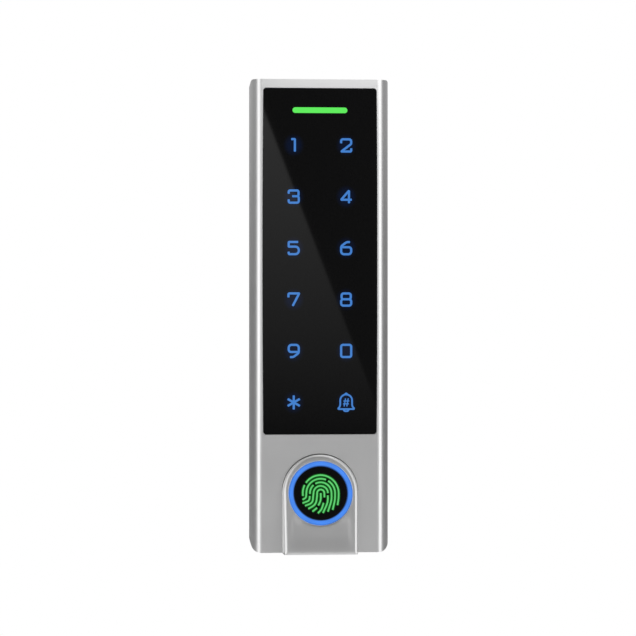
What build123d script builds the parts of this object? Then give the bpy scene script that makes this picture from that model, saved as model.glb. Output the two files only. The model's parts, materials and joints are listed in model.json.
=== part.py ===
from build123d import *
import os

# Slim metal keypad access reader with a fingerprint sensor, in millimetres.
# Frame: X to the right, Z up, the front looks along -Y. The wall is the plane Y = 0,
# and the origin is on it, behind the middle of the body.

# ---------------------------------------------------------------- driving dimensions
BODY_WIDTH = 54.0
BODY_HEIGHT = 185.0
BODY_FRONT = 23.0            # distance of the front face from the wall
BODY_REAR = 1.0              # distance of the housing's rear rim from the wall
SHOULDER_RADIUS = 4.5        # rounding of the long front edges
TOP_CORNER_RADIUS = 1.0
BOTTOM_CORNER_RADIUS = 3.9
SIDE_WALL = 3.0
RIM_WALL = 2.0               # thinner side wall behind the inner cover's ledge
FRONT_WALL = 3.5
LEDGE_DEPTH = 7.4            # distance of the inner cover's ledge from the wall

GLASS_HALF_WIDTH = 22.45
GLASS_BOW = 0.28             # the glass is this much narrower at its ends, on each side
GLASS_TOP = 89.0
GLASS_BOTTOM = -46.3
GLASS_CORNER = 1.2
GLASS_THICKNESS = 1.7
GLASS_INSET = 0.1
ADHESIVE = 0.2
WINDOW_MARGIN = 2.6          # width of the ledge that the glass is glued to
EDGE_GAP = 0.1               # clearance around the glass

KEY_COLUMN = 10.27           # half the distance between the two key columns
KEY_PITCH = 20.1
KEY_TOP_ROW = 66.7
KEY_ROWS = 6
LEGEND_WIDTH = 7.2
LEGEND_HEIGHT = 7.6
LEGEND_THICKNESS = 0.15
BAR_WIDTH = 21.5
BAR_HEIGHT = 2.2
BAR_Z = 80.4

SENSOR_Z = -68.9
LENS_RADIUS = 10.4
RING_INNER = 10.5
RING_OUTER = 12.5
ICON_RADIUS = 7.9
BARREL_RADIUS = 10.6
FLANGE_DEPTH = 4.2           # depth of the sensor's seat below the guide's face
NUT_RADIUS = 12.2
NUT_FRONT = 16.9             # where the ring nut bears, measured along the sensor's axis
GUIDE_BASE_RADIUS = 14.8
GUIDE_DRAFT = 5.2            # degrees
GUIDE_TILT = 9.0             # degrees; the guide stands out further at its lower end
GUIDE_FRONT = 27.2           # distance of the guide's face from the wall at the sensor's centre
GUIDE_GASKET = 0.4

PLATE_THICKNESS = 1.5
PLATE_HALF_WIDTH = 24.0
PLATE_TOP = 84.5
PLATE_BOTTOM = -88.2
HINGE_Y = 3.2                # distance of the hook bar's axis from the wall
HINGE_Z = 88.2
HOOK_BAR_RADIUS = 1.0
HOOK_FIT = 0.1
HOOK_INNER_X = 10.2
HOOK_OUTER_X = 19.2
WALL_SCREW_SPACING = 83.3
WALL_HOLE_RADIUS = 2.2
FIXING_SPACING_X = 36.0
FIXING_SPACING_Z = 140.0
FIXING_HOLE_RADIUS = 1.8
CABLE_BORE_RADIUS = 3.2
CABLE_OPENING_WIDTH = 24.0
CABLE_OPENING_HEIGHT = 28.0
CABLE_Z = 20.0               # height of the wall plate's opening and of the cable grommet

SCREW_Y = 6.5                # distance of the security screw's axis from the wall
SCREW_RADIUS = 1.5
SCREW_HEAD_RADIUS = 2.8
LUG_TOP = -86.7

PLUNGER_X = 14.0
PLUNGER_Z = -30.0
PLUNGER_RADIUS = 1.5

BOARD_FRONT = 16.3           # distance of the main board's front face from the wall
BOARD_THICKNESS = 1.6
COVER_REAR = 4.2             # distance of the inner cover's rear face from the wall
COVER_THICKNESS = 2.0
SCREW_POST_X = 21.5
SCREW_POST_Z = (82.0, 21.0, -40.0)
COVER_SCREW_Z = (62.0, 0.0, -52.0)

half_width = BODY_WIDTH / 2
half_height = BODY_HEIGHT / 2
inner_half_width = half_width - SIDE_WALL
rim_half_width = half_width - RIM_WALL
front_inside = BODY_FRONT - FRONT_WALL
chamber_top = 84.9
chamber_bottom = -83.0
board_back = BOARD_FRONT - BOARD_THICKNESS
cover_front = COVER_REAR + COVER_THICKNESS
glass_back = BODY_FRONT - GLASS_INSET - GLASS_THICKNESS
ledge_front = glass_back - ADHESIVE
window_half_width = GLASS_HALF_WIDTH - WINDOW_MARGIN
window_top = GLASS_TOP - WINDOW_MARGIN
window_bottom = GLASS_BOTTOM + WINDOW_MARGIN
guide_base = BODY_FRONT + GUIDE_GASKET

# the sensor and the guide's face lean back about a line through the sensor's centre
lean = Pos(0, -GUIDE_FRONT, SENSOR_Z) * Rot(-GUIDE_TILT, 0, 0) * Pos(0, GUIDE_FRONT, -SENSOR_Z)


# ---------------------------------------------------------------- small helpers
def block(x0, x1, y0, y1, z0, z1):
    """A box between two X, two distances from the wall, and two Z."""
    size = (abs(x1 - x0), abs(y1 - y0), abs(z1 - z0))
    centre = ((x0 + x1) / 2, -(y0 + y1) / 2, (z0 + z1) / 2)
    return Pos(*centre) * Box(*size)


def disc(x, z, radius, y0, y1):
    """A cylinder along Y between two distances from the wall."""
    return Pos(x, -(y0 + y1) / 2, z) * (Rot(90, 0, 0) * Cylinder(radius, abs(y1 - y0)))


def ring(x, z, outer, inner, y0, y1):
    """A tube along Y between two distances from the wall."""
    return disc(x, z, outer, y0, y1) - disc(x, z, inner, min(y0, y1) - 1, max(y0, y1) + 1)


def post(x, y, radius, z0, z1):
    """A cylinder along Z at a distance y from the wall."""
    return Pos(x, -y, (z0 + z1) / 2) * Cylinder(radius, abs(z1 - z0))


def bar(radius, x0, x1, y, z):
    """A cylinder along X at a distance y from the wall."""
    return Pos((x0 + x1) / 2, -y, z) * (Rot(0, 90, 0) * Cylinder(radius, abs(x1 - x0)))


def front_sketch(sketch, y0, y1):
    """A flat outline seen from the front, as a solid between two distances from the wall."""
    plane = Plane(origin=(0, -min(y0, y1), 0), x_dir=(1, 0, 0), z_dir=(0, -1, 0))
    return extrude(plane * sketch, amount=abs(y1 - y0))


def rounded_block(x0, x1, y0, y1, z0, z1, radius):
    """A box with its four corners rounded as seen from the front."""
    centre = Pos((x0 + x1) / 2, (z0 + z1) / 2)
    return front_sketch(centre * RectangleRounded(abs(x1 - x0), abs(z1 - z0), radius), y0, y1)


def group(solids):
    return Compound(children=list(solids))


def save(name, shape):
    shape.label = name
    export_step(shape, f"parts/{name}.step")


def glass_outline(grow):
    """The glass seen from the front: its long sides bow out slightly in the middle."""
    wide = GLASS_HALF_WIDTH + grow
    end = wide - GLASS_BOW
    top = GLASS_TOP + grow
    bottom = GLASS_BOTTOM - grow
    middle = (top + bottom) / 2
    right = ThreePointArc((end, bottom), (wide, middle), (end, top))
    left = ThreePointArc((-end, top), (-wide, middle), (-end, bottom))
    outline = Curve() + [right, Line((end, top), (-end, top)), left, Line((-end, bottom), (end, bottom))]
    face = make_face(outline)
    return fillet(face.vertices(), GLASS_CORNER + grow)


# ---------------------------------------------------------------- housing
def outer_body():
    """The outer shape: the section across it, within the outline seen from the front."""
    section = Polyline((-half_width, -BODY_REAR), (half_width, -BODY_REAR),
                       (half_width, -BODY_FRONT), (-half_width, -BODY_FRONT), close=True)
    profile = make_face(section)
    front_corners = profile.vertices().sort_by(Axis.Y)[:2]
    profile = fillet(front_corners, SHOULDER_RADIUS)
    column = Pos(0, 0, -half_height) * extrude(profile, amount=BODY_HEIGHT, dir=(0, 0, 1))
    outline = Rectangle(BODY_WIDTH, BODY_HEIGHT)
    corners = outline.vertices().sort_by(Axis.Y)
    outline = fillet(corners[:2], BOTTOM_CORNER_RADIUS)
    top = outline.vertices().sort_by(Axis.Y)[-2:]
    outline = fillet(top, TOP_CORNER_RADIUS)
    return column & front_sketch(outline, BODY_REAR, BODY_FRONT)


def front_housing():
    """Die-cast shell, open at the back, with the glass seat, board posts and hook bars."""
    shell = outer_body()
    chamber = block(-inner_half_width, inner_half_width, LEDGE_DEPTH, front_inside, chamber_bottom, chamber_top)
    shell -= chamber
    recess = rounded_block(-rim_half_width, rim_half_width, 0, LEDGE_DEPTH, -84.0, 85.9, 1.5)
    shell -= recess
    # pockets above and below the sealed chamber, for the hook and for the screw lug
    shell -= block(-rim_half_width, rim_half_width, 0, LEDGE_DEPTH - 1.2, 85.0, 89.5)
    shell -= block(-rim_half_width + 4, rim_half_width - 4, 0, front_inside, 86.4, 89.5)
    shell -= block(-rim_half_width, rim_half_width, 0, LEDGE_DEPTH - 1.2, -89.5, -83.0)
    shell -= block(-20.0, 20.0, 0, front_inside, -89.5, -84.5)
    # glass seat, and the window behind it
    shell -= front_sketch(glass_outline(EDGE_GAP), ledge_front, BODY_FRONT + 1)
    shell -= block(-window_half_width, window_half_width, front_inside - 1, BODY_FRONT, window_bottom, window_top)
    # boss, seat and hole for the sensor's barrel, square to its leaning axis
    boss = lean * disc(0, SENSOR_Z, NUT_RADIUS, NUT_FRONT, GUIDE_FRONT)
    shell += boss & block(-20, 20, 0, BODY_FRONT - 1, chamber_bottom - 1, 0)
    shell -= lean * disc(0, SENSOR_Z, BARREL_RADIUS + 0.15, 0, 40)
    shell -= lean * disc(0, SENSOR_Z, RING_OUTER + 0.15, GUIDE_FRONT - FLANGE_DEPTH, 40)
    # guide screws pass through the front wall
    for x in (-9.0, 9.0):
        shell -= disc(x, -87.0, 1.35, front_inside - 1, BODY_FRONT + 1)
    # posts for the main board, with blind screw holes
    for x in (-SCREW_POST_X, SCREW_POST_X):
        for z in SCREW_POST_Z:
            shell += disc(x, z, 2.4, BOARD_FRONT, front_inside)
            shell -= disc(x, z, 1.05, BOARD_FRONT - 1, front_inside + 0.6)
    # posts for the inner cover, beside the board
    for x in (-1, 1):
        for z in COVER_SCREW_Z:
            shell += block(x * 21.6, x * inner_half_width, cover_front + 0.05, front_inside, z - 2.4, z + 2.4)
            shell -= disc(x * 22.6, z, 0.85, cover_front - 1, cover_front + 6)
    # hook bars across the pocket at the top, between cast webs
    for side in (-1, 1):
        x0 = side * (HOOK_INNER_X - 1.9)
        x1 = side * (HOOK_OUTER_X + 1.9)
        shell += bar(HOOK_BAR_RADIUS, x0, x1, HINGE_Y, HINGE_Z)
        for web in (x0 + side * 0.7, x1 - side * 0.7):
            shell += block(web - 0.7, web + 0.7, HINGE_Y - 1, HINGE_Y + 1, HINGE_Z, 89.6)
            shell += bar(1.2, web - 0.7, web + 0.7, HINGE_Y, HINGE_Z)
    # slot for the security screw, open at the rear rim
    shell -= post(0, SCREW_Y, 1.8, -93, -89)
    shell -= block(-1.8, 1.8, 0, SCREW_Y, -93, -89)
    shell -= post(0, SCREW_Y, 3.1, -93, -90.5)
    shell -= block(-3.1, 3.1, 0, SCREW_Y, -93, -90.5)
    return shell


# ---------------------------------------------------------------- glass and keypad
def glass_panel():
    return front_sketch(glass_outline(0), glass_back, BODY_FRONT - GLASS_INSET)


def panel_adhesive():
    """Ring of double-sided tape between the glass and its ledge."""
    outer = front_sketch(glass_outline(-0.2), ledge_front, glass_back)
    hole = block(-window_half_width, window_half_width, ledge_front - 1, glass_back + 1, window_bottom, window_top)
    return outer - hole


def key_places():
    """Centres of the twelve keys, row by row from the top."""
    return [(side * KEY_COLUMN, KEY_TOP_ROW - row * KEY_PITCH) for row in range(KEY_ROWS) for side in (-1, 1)]


def key_legends():
    """Twelve translucent films behind the glass, one for each lit key mark."""
    films = []
    for x, z in key_places():
        half_w = LEGEND_WIDTH / 2
        half_h = LEGEND_HEIGHT / 2
        films.append(rounded_block(x - half_w, x + half_w, glass_back, glass_back - LEGEND_THICKNESS,
                                   z - half_h, z + half_h, 0.8))
    return group(films)


def status_light_bar():
    """Diffuser of the status light, with rounded ends."""
    return rounded_block(-BAR_WIDTH / 2, BAR_WIDTH / 2, glass_back, glass_back - LEGEND_THICKNESS,
                         BAR_Z - BAR_HEIGHT / 2, BAR_Z + BAR_HEIGHT / 2, BAR_HEIGHT / 2 - 0.01)


def touch_board():
    """Thin circuit board with the touch pads, right behind the marks, open where light passes."""
    front = glass_back - LEGEND_THICKNESS - 0.05
    board = block(-window_half_width + 0.4, window_half_width - 0.4, front, front - 1.2,
                  window_bottom + 0.4, window_top - 0.4)
    for x, z in key_places():
        board -= rounded_block(x - 3.3, x + 3.3, front + 1, front - 3, z - 3.5, z + 3.5, 0.8)
    board -= block(-10.4, 10.4, front + 1, front - 3, BAR_Z - 1.0, BAR_Z + 1.0)
    return board


def light_guide():
    """White moulding with a well behind each mark, so that light doesn't stray to the next."""
    tray = rounded_block(-17.4, 17.4, front_inside - 0.1, BOARD_FRONT, -41.1, 84.1, 1.5)
    for x, z in key_places():
        tray -= rounded_block(x - 4.4, x + 4.4, 0, 30, z - 4.6, z + 4.6, 1.2)
    tray -= rounded_block(-11.6, 11.6, 0, 30, BAR_Z - 1.9, BAR_Z + 1.9, 1.2)
    return tray


def key_leds():
    """One light-emitting diode in each well, and four behind the status bar."""
    height = BOARD_FRONT + 1.0
    chips = [block(x - 1.4, x + 1.4, BOARD_FRONT, height, z - 1.75, z + 1.75) for x, z in key_places()]
    for x in (-8.1, -2.7, 2.7, 8.1):
        chips.append(block(x - 1.0, x + 1.0, BOARD_FRONT, height, BAR_Z - 0.8, BAR_Z + 0.8))
    return group(chips)


def antenna_coil():
    """Flat coil of enamelled wire around the light guide, which reads cards."""
    outer = rounded_block(-18.9, 18.9, front_inside - 0.6, front_inside - 2.4, -42.6, 85.4 - 0.6, 2.5)
    return outer - rounded_block(-17.6, 17.6, 0, 30, -41.3, 84.3, 1.6)


# ---------------------------------------------------------------- main board
def main_board():
    board = rounded_block(-23.6, 23.6, BOARD_FRONT, board_back, -46.0, 84.4, 1.0)
    for x in (-SCREW_POST_X, SCREW_POST_X):
        for z in SCREW_POST_Z:
            board -= disc(x, z, 1.2, 0, 30)
    for side in (-1, 1):
        for z in COVER_SCREW_Z:
            board -= block(side * 21.2, side * 25.0, 0, 30, z - 2.8, z + 2.8)
    return board


def board_screws():
    """Six pan-head screws that hold the main board to its posts."""
    screws = []
    for x in (-SCREW_POST_X, SCREW_POST_X):
        for z in SCREW_POST_Z:
            screw = disc(x, z, 1.0, front_inside + 0.3, board_back) + disc(x, z, 1.9, board_back, board_back - 1.3)
            screw -= block(x - 1.2, x + 1.2, board_back - 0.8, board_back - 2, z - 0.25, z + 0.25)
            screw -= block(x - 0.25, x + 0.25, board_back - 0.8, board_back - 2, z - 1.2, z + 1.2)
            screws.append(screw)
    return group(screws)


def door_relay():
    return block(-15.0, 0.0, board_back, board_back - 7.9, 30.0, 40.0)


def buzzer():
    """Piezo sounder: a round can with a sound hole."""
    return disc(-10.0, 56.0, 6.0, board_back, board_back - 6.5) - disc(-10.0, 56.0, 1.0, board_back - 5, board_back - 8)


def processor_chips():
    """Main processor, memory and a driver."""
    return group([
        block(4.0, 11.0, board_back, board_back - 1.0, 44.0, 51.0),
        block(-16.0, -11.0, board_back, board_back - 1.4, 8.0, 12.0),
        block(6.0, 12.0, board_back, board_back - 1.6, 22.0, 26.0),
    ])


def capacitors():
    """Three round electrolytic capacitors."""
    return group([disc(x, z, 3.1, board_back, board_back - 5.6) for x, z in ((14.0, 68.0), (6.0, 68.0), (14.0, 34.0))])


def wire_headers():
    """Two five-way headers that the wall wiring plugs into."""
    headers = []
    for z in (-2.0, -20.0):
        shell = block(-14.0, 2.0, board_back, board_back - 6.4, z - 3.0, z + 3.0)
        shell -= block(-13.2, 1.2, board_back - 1.2, board_back - 8, z - 2.2, z + 2.2)
        for pin in range(5):
            x = -11.6 + pin * 2.8
            shell += block(x - 0.3, x + 0.3, board_back - 1.0, board_back - 4.6, z - 0.3, z + 0.3)
        headers.append(shell)
    return group(headers)


# ---------------------------------------------------------------- fingerprint unit
def guide_outline(radius):
    """Arch over the sensor with straight sides down to the lower end."""
    drop = SENSOR_Z + half_height + 3
    arch = Pos(0, SENSOR_Z) * Circle(radius)
    return arch + Pos(0, SENSOR_Z - drop / 2) * Rectangle(radius * 2, drop)


def sensor_space():
    """The hole that the sensor unit passes through: a barrel and the wider seat for its flange."""
    hole = disc(0, SENSOR_Z, BARREL_RADIUS + 0.15, 0, 40)
    hole += disc(0, SENSOR_Z, RING_OUTER + 0.1, GUIDE_FRONT - FLANGE_DEPTH, 40)
    return lean * hole


def finger_guide():
    """Raised arch-shaped platform around the sensor, with drafted sides and a leaning face."""
    plane = Plane(origin=(0, -guide_base, 0), x_dir=(1, 0, 0), z_dir=(0, -1, 0))
    guide = extrude(plane * guide_outline(GUIDE_BASE_RADIUS), amount=12, taper=GUIDE_DRAFT)
    guide &= block(-30, 30, 0, 40, -half_height, 0)
    guide -= lean * block(-30, 30, GUIDE_FRONT, 60, -130, 0)
    guide -= sensor_space()
    for x in (-9.0, 9.0):
        guide -= disc(x, -87.0, 1.05, 0, guide_base + 3.5)
    return guide


def guide_gasket():
    """Thin rubber sheet between the guide and the housing."""
    sheet = front_sketch(guide_outline(GUIDE_BASE_RADIUS - 0.6), BODY_FRONT, guide_base)
    sheet &= block(-30, 30, 0, 40, -half_height + 1.2, 0)
    sheet -= lean * disc(0, SENSOR_Z, RING_OUTER + 0.15, 0, 40)
    for x in (-9.0, 9.0):
        sheet -= disc(x, -87.0, 1.4, 0, 40)
    return sheet


def guide_screws():
    """Two screws from inside the housing into the finger guide."""
    screws = []
    for x in (-9.0, 9.0):
        screw = disc(x, -87.0, 1.0, front_inside, guide_base + 3.2)
        screw += disc(x, -87.0, 2.1, front_inside - 1.4, front_inside)
        screws.append(screw - disc(x, -87.0, 0.8, 0, front_inside - 0.6))
    return group(screws)


def sensor_ring_light():
    """Translucent ring that glows around the sensor."""
    return lean * ring(0, SENSOR_Z, RING_OUTER, RING_INNER, GUIDE_FRONT - 2.0, GUIDE_FRONT + 0.1)


def ring_light_board():
    return lean * ring(0, SENSOR_Z, RING_OUTER, RING_INNER + 0.1, GUIDE_FRONT - 3.0, GUIDE_FRONT - 2.6)


def ring_leds():
    """Eight small diodes under the glowing ring."""
    chip = block(-0.6, 0.6, GUIDE_FRONT - 2.6, GUIDE_FRONT - 2.05, 11.1, 11.9)
    centre = lean * Pos(0, 0, SENSOR_Z)
    return group([centre * (Rot(0, index * 45, 0) * chip) for index in range(8)])


def sensor_lens():
    return lean * disc(0, SENSOR_Z, LENS_RADIUS, GUIDE_FRONT - 1.2, GUIDE_FRONT)


def sensor_icon():
    """Lit film behind the lens that shows where the finger goes."""
    return lean * disc(0, SENSOR_Z, ICON_RADIUS, GUIDE_FRONT - 1.4, GUIDE_FRONT - 1.2)


def sensor_body():
    """Flanged and threaded barrel that holds the sensor's electronics."""
    barrel = disc(0, SENSOR_Z, RING_INNER - 0.05, GUIDE_FRONT - 3.0, GUIDE_FRONT - 1.4)
    barrel += disc(0, SENSOR_Z, RING_OUTER, GUIDE_FRONT - FLANGE_DEPTH, GUIDE_FRONT - 3.0)
    barrel += disc(0, SENSOR_Z, BARREL_RADIUS, 12.0, GUIDE_FRONT - FLANGE_DEPTH)
    barrel -= disc(0, SENSOR_Z, BARREL_RADIUS - 0.9, 11.0, GUIDE_FRONT - 4.6)
    return lean * barrel


def sensor_board():
    """Round circuit board in the barrel's rear end, with its plug socket."""
    board = disc(0, SENSOR_Z, BARREL_RADIUS - 0.95, 12.4, 13.6)
    socket = block(-4.0, 4.0, 12.4, 8.6, SENSOR_Z - 2.2, SENSOR_Z + 2.2)
    return lean * (board + socket)


def sensor_nut():
    """Ring nut that clamps the barrel to its boss, with two wrench notches."""
    rear = NUT_FRONT - 3.0
    nut = ring(0, SENSOR_Z, NUT_RADIUS, BARREL_RADIUS + 0.05, NUT_FRONT, rear)
    for side in (-1, 1):
        nut -= block(side * 11.4, side * 13.0, rear + 1.4, rear - 1.0, SENSOR_Z - 1.2, SENSOR_Z + 1.2)
    return lean * nut


def sensor_cable():
    """Flat flexible cable from the sensor's socket up to the main board."""
    middle = block(-3.0, 3.0, 7.6, 8.2, SENSOR_Z - 3.5, -40.6)
    riser = block(-3.0, 3.0, 8.2, board_back, -41.2, -40.6)
    return middle + riser


# ---------------------------------------------------------------- inner cover
def inner_cover():
    """Plastic cover that closes the sealed chamber, with a hole for the wiring and a guide for the plunger."""
    cover = rounded_block(-24.8, 24.8, COVER_REAR, cover_front, -83.8, 85.7, 1.3)
    for side in (-1, 1):
        for z in COVER_SCREW_Z:
            cover -= disc(side * 22.6, z, 1.1, 0, 30)
            cover -= disc(side * 22.6, z, 1.6, 0, COVER_REAR + 1.0)
    cover -= disc(0, CABLE_Z, 5.0, 0, 30)
    cover += disc(PLUNGER_X, PLUNGER_Z, 2.8, COVER_REAR, COVER_REAR - 1.0)
    cover -= disc(PLUNGER_X, PLUNGER_Z, PLUNGER_RADIUS + 0.1, 0, 30)
    return cover


def cover_seal():
    """Rubber frame under the inner cover's edge."""
    outer = rounded_block(-24.9, 24.9, cover_front, LEDGE_DEPTH, -83.9, 85.8, 1.4)
    return outer - rounded_block(-24.05, 24.05, 0, 30, -83.05, 84.95, 0.5)


def cover_screws():
    screws = []
    for side in (-1, 1):
        for z in COVER_SCREW_Z:
            screw = disc(side * 22.6, z, 0.8, COVER_REAR + 1.0, cover_front + 5)
            screw += disc(side * 22.6, z, 1.5, COVER_REAR + 0.1, COVER_REAR + 1.0)
            screws.append(screw - disc(side * 22.6, z, 0.6, 0, COVER_REAR + 0.6))
    return group(screws)


def cable_grommet():
    """Rubber grommet that the wall wiring passes through."""
    grommet = disc(0, CABLE_Z, 5.0, COVER_REAR, cover_front)
    grommet += disc(0, CABLE_Z, 6.2, COVER_REAR - 0.8, COVER_REAR)
    grommet += disc(0, CABLE_Z, 6.2, cover_front, cover_front + 0.8)
    return grommet - disc(0, CABLE_Z, CABLE_BORE_RADIUS, 0, 30)


# ---------------------------------------------------------------- wall plate and fixings
def hook():
    """J-shaped hook, open at the top, that wraps around a hook bar."""
    length = HOOK_OUTER_X - HOOK_INNER_X
    inner = HOOK_BAR_RADIUS + HOOK_FIT
    outer = inner + 1.2
    tube = bar(outer, 0, length, HINGE_Y, HINGE_Z) - bar(inner, -1, length + 1, HINGE_Y, HINGE_Z)
    tube &= block(0, length, 0, 10, HINGE_Z - 5, HINGE_Z)
    lip = block(0, length, HINGE_Y + inner, HINGE_Y + outer, HINGE_Z, HINGE_Z + 0.8)
    stem = block(0, length, 0, PLATE_THICKNESS, PLATE_TOP, HINGE_Z)
    return tube + lip + stem


def wall_plate():
    """Steel plate screwed to the wall, with two hooks at the top and a screw lug at the bottom."""
    plate = rounded_block(-PLATE_HALF_WIDTH, PLATE_HALF_WIDTH, 0, PLATE_THICKNESS, PLATE_BOTTOM, PLATE_TOP, 2.0)
    plate += Pos(HOOK_INNER_X, 0, 0) * hook()
    plate += Pos(-HOOK_OUTER_X, 0, 0) * hook()
    plate += block(-6.0, 6.0, 0, 11.0, PLATE_BOTTOM, LUG_TOP)
    plate -= post(0, SCREW_Y, SCREW_RADIUS + 0.05, PLATE_BOTTOM - 1, LUG_TOP + 1)
    opening_w = CABLE_OPENING_WIDTH / 2
    opening_h = CABLE_OPENING_HEIGHT / 2
    plate -= rounded_block(-opening_w, opening_w, -1, 3, CABLE_Z - opening_h, CABLE_Z + opening_h, 3.0)
    for side in (-1, 1):
        plate -= disc(0, side * WALL_SCREW_SPACING / 2, WALL_HOLE_RADIUS, -1, 3)
        for x in (-FIXING_SPACING_X / 2, FIXING_SPACING_X / 2):
            plate -= disc(x, side * FIXING_SPACING_Z / 2, FIXING_HOLE_RADIUS, -1, 3)
    return plate - disc(PLUNGER_X, PLUNGER_Z, 3.2, -1, 3)


def lug_nut():
    """Clinch nut pressed onto the lug, which the security screw threads into."""
    nut = post(0, SCREW_Y, 2.8, LUG_TOP, LUG_TOP + 1.4)
    return nut - post(0, SCREW_Y, SCREW_RADIUS + 0.05, LUG_TOP - 1, LUG_TOP + 3)


def security_screw():
    """Button-head screw with a six-lobe recess and a centre pin, entering from below."""
    head = post(0, SCREW_Y, SCREW_HEAD_RADIUS, -92.4, -90.55)
    shank = post(0, SCREW_Y, SCREW_RADIUS, -90.55, LUG_TOP + 1.2)
    screw = head + shank
    recess = post(0, SCREW_Y, 1.0, -93, -91.3)
    for lobe in range(6):
        recess += Pos(0, -SCREW_Y, 0) * (Rot(0, 0, lobe * 60) * post(1.0, 0, 0.4, -93, -91.3))
    recess -= post(0, SCREW_Y, 0.4, -93, -91)
    return screw - recess


# ---------------------------------------------------------------- tamper detection
def tamper_plunger():
    """Sprung pin that the wall holds in; it moves out when the reader leaves the wall."""
    pin = disc(PLUNGER_X, PLUNGER_Z, PLUNGER_RADIUS, 0.0, 11.0)
    return pin + disc(PLUNGER_X, PLUNGER_Z, 2.6, 7.5, 8.3)


def tamper_spring():
    """Coil spring between the switch and the plunger's collar."""
    helix = Helix(pitch=0.7, height=2.1, radius=2.15)
    wire = Plane(origin=helix @ 0, z_dir=helix % 0) * Circle(0.15)
    coil = sweep(wire, path=helix)
    return Pos(PLUNGER_X, -8.65, PLUNGER_Z) * (Rot(90, 0, 0) * coil)


def tamper_switch():
    """Surface-mounted switch behind the plunger."""
    body = block(PLUNGER_X - 3.1, PLUNGER_X + 3.1, board_back, 11.6, PLUNGER_Z - 3.1, PLUNGER_Z + 3.1)
    return body + disc(PLUNGER_X, PLUNGER_Z, 1.2, 11.6, 11.3)


PARTS = {
    "front_housing": front_housing,
    "glass_panel": glass_panel,
    "panel_adhesive": panel_adhesive,
    "key_legends": key_legends,
    "status_light_bar": status_light_bar,
    "touch_board": touch_board,
    "light_guide": light_guide,
    "key_leds": key_leds,
    "antenna_coil": antenna_coil,
    "main_board": main_board,
    "board_screws": board_screws,
    "door_relay": door_relay,
    "buzzer": buzzer,
    "processor_chips": processor_chips,
    "capacitors": capacitors,
    "wire_headers": wire_headers,
    "finger_guide": finger_guide,
    "guide_gasket": guide_gasket,
    "guide_screws": guide_screws,
    "sensor_ring_light": sensor_ring_light,
    "ring_light_board": ring_light_board,
    "ring_leds": ring_leds,
    "sensor_lens": sensor_lens,
    "sensor_icon": sensor_icon,
    "sensor_body": sensor_body,
    "sensor_board": sensor_board,
    "sensor_nut": sensor_nut,
    "sensor_cable": sensor_cable,
    "inner_cover": inner_cover,
    "cover_seal": cover_seal,
    "cover_screws": cover_screws,
    "cable_grommet": cable_grommet,
    "wall_plate": wall_plate,
    "lug_nut": lug_nut,
    "security_screw": security_screw,
    "tamper_plunger": tamper_plunger,
    "tamper_spring": tamper_spring,
    "tamper_switch": tamper_switch,
}

os.makedirs("parts", exist_ok=True)
for part_name, make_part in PARTS.items():
    save(part_name, make_part())
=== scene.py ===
# %% [markdown]
# # A keypad access reader
# A slim reader for a door: a die-cast silver body, a tall black glass keypad with lit marks, and a
# fingerprint sensor on a raised guide. Its frame comes from CAD, where every size was settled. This
# lesson only makes it look real: it keeps the CAD parts whose shape is right, swaps the ones that
# need finer shapes, and gives each a finish. Loading the frame first means that each new piece can
# be placed from the CAD parts around it.

# %% Load the CAD frame
import json
import math

import bmesh
import bpy
from mathutils import Matrix, Vector


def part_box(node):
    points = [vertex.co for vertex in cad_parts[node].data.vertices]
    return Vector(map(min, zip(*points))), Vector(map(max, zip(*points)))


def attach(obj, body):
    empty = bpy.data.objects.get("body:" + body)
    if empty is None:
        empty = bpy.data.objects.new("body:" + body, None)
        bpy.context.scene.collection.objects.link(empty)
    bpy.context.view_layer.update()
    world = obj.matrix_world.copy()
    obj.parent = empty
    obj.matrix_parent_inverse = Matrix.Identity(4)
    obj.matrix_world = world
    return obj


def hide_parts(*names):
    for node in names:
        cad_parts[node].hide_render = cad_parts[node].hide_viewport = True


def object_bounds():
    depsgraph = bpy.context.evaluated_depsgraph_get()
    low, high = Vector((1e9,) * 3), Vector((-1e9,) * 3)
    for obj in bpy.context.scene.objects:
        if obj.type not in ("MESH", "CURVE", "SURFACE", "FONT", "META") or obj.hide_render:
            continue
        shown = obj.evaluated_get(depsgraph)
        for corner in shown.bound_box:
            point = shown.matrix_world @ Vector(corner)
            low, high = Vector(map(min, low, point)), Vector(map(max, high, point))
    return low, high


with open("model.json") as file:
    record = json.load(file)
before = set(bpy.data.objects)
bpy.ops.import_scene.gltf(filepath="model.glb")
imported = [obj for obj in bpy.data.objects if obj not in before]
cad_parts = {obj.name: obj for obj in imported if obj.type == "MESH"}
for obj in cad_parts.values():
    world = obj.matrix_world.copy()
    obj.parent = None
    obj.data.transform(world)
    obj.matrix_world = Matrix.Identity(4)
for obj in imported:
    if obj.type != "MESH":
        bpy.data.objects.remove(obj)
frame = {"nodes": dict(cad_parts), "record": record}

cad_box = [list(corner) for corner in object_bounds()]
MM = 0.001

# %% [markdown]
# ## Where the eye stands
# The reader is seen almost square on, from a little to its left, through a long lens, so its sides
# hardly converge. The camera aims at the middle of the front face, and its lens follows from how
# wide a view is wanted at that distance. A small shift sets the reader a touch above the middle.

# %% Camera
CAMERA_AZIMUTH = math.radians(-3.8)
CAMERA_DISTANCE = 0.80
VIEW_WIDTH = 0.2486

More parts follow.
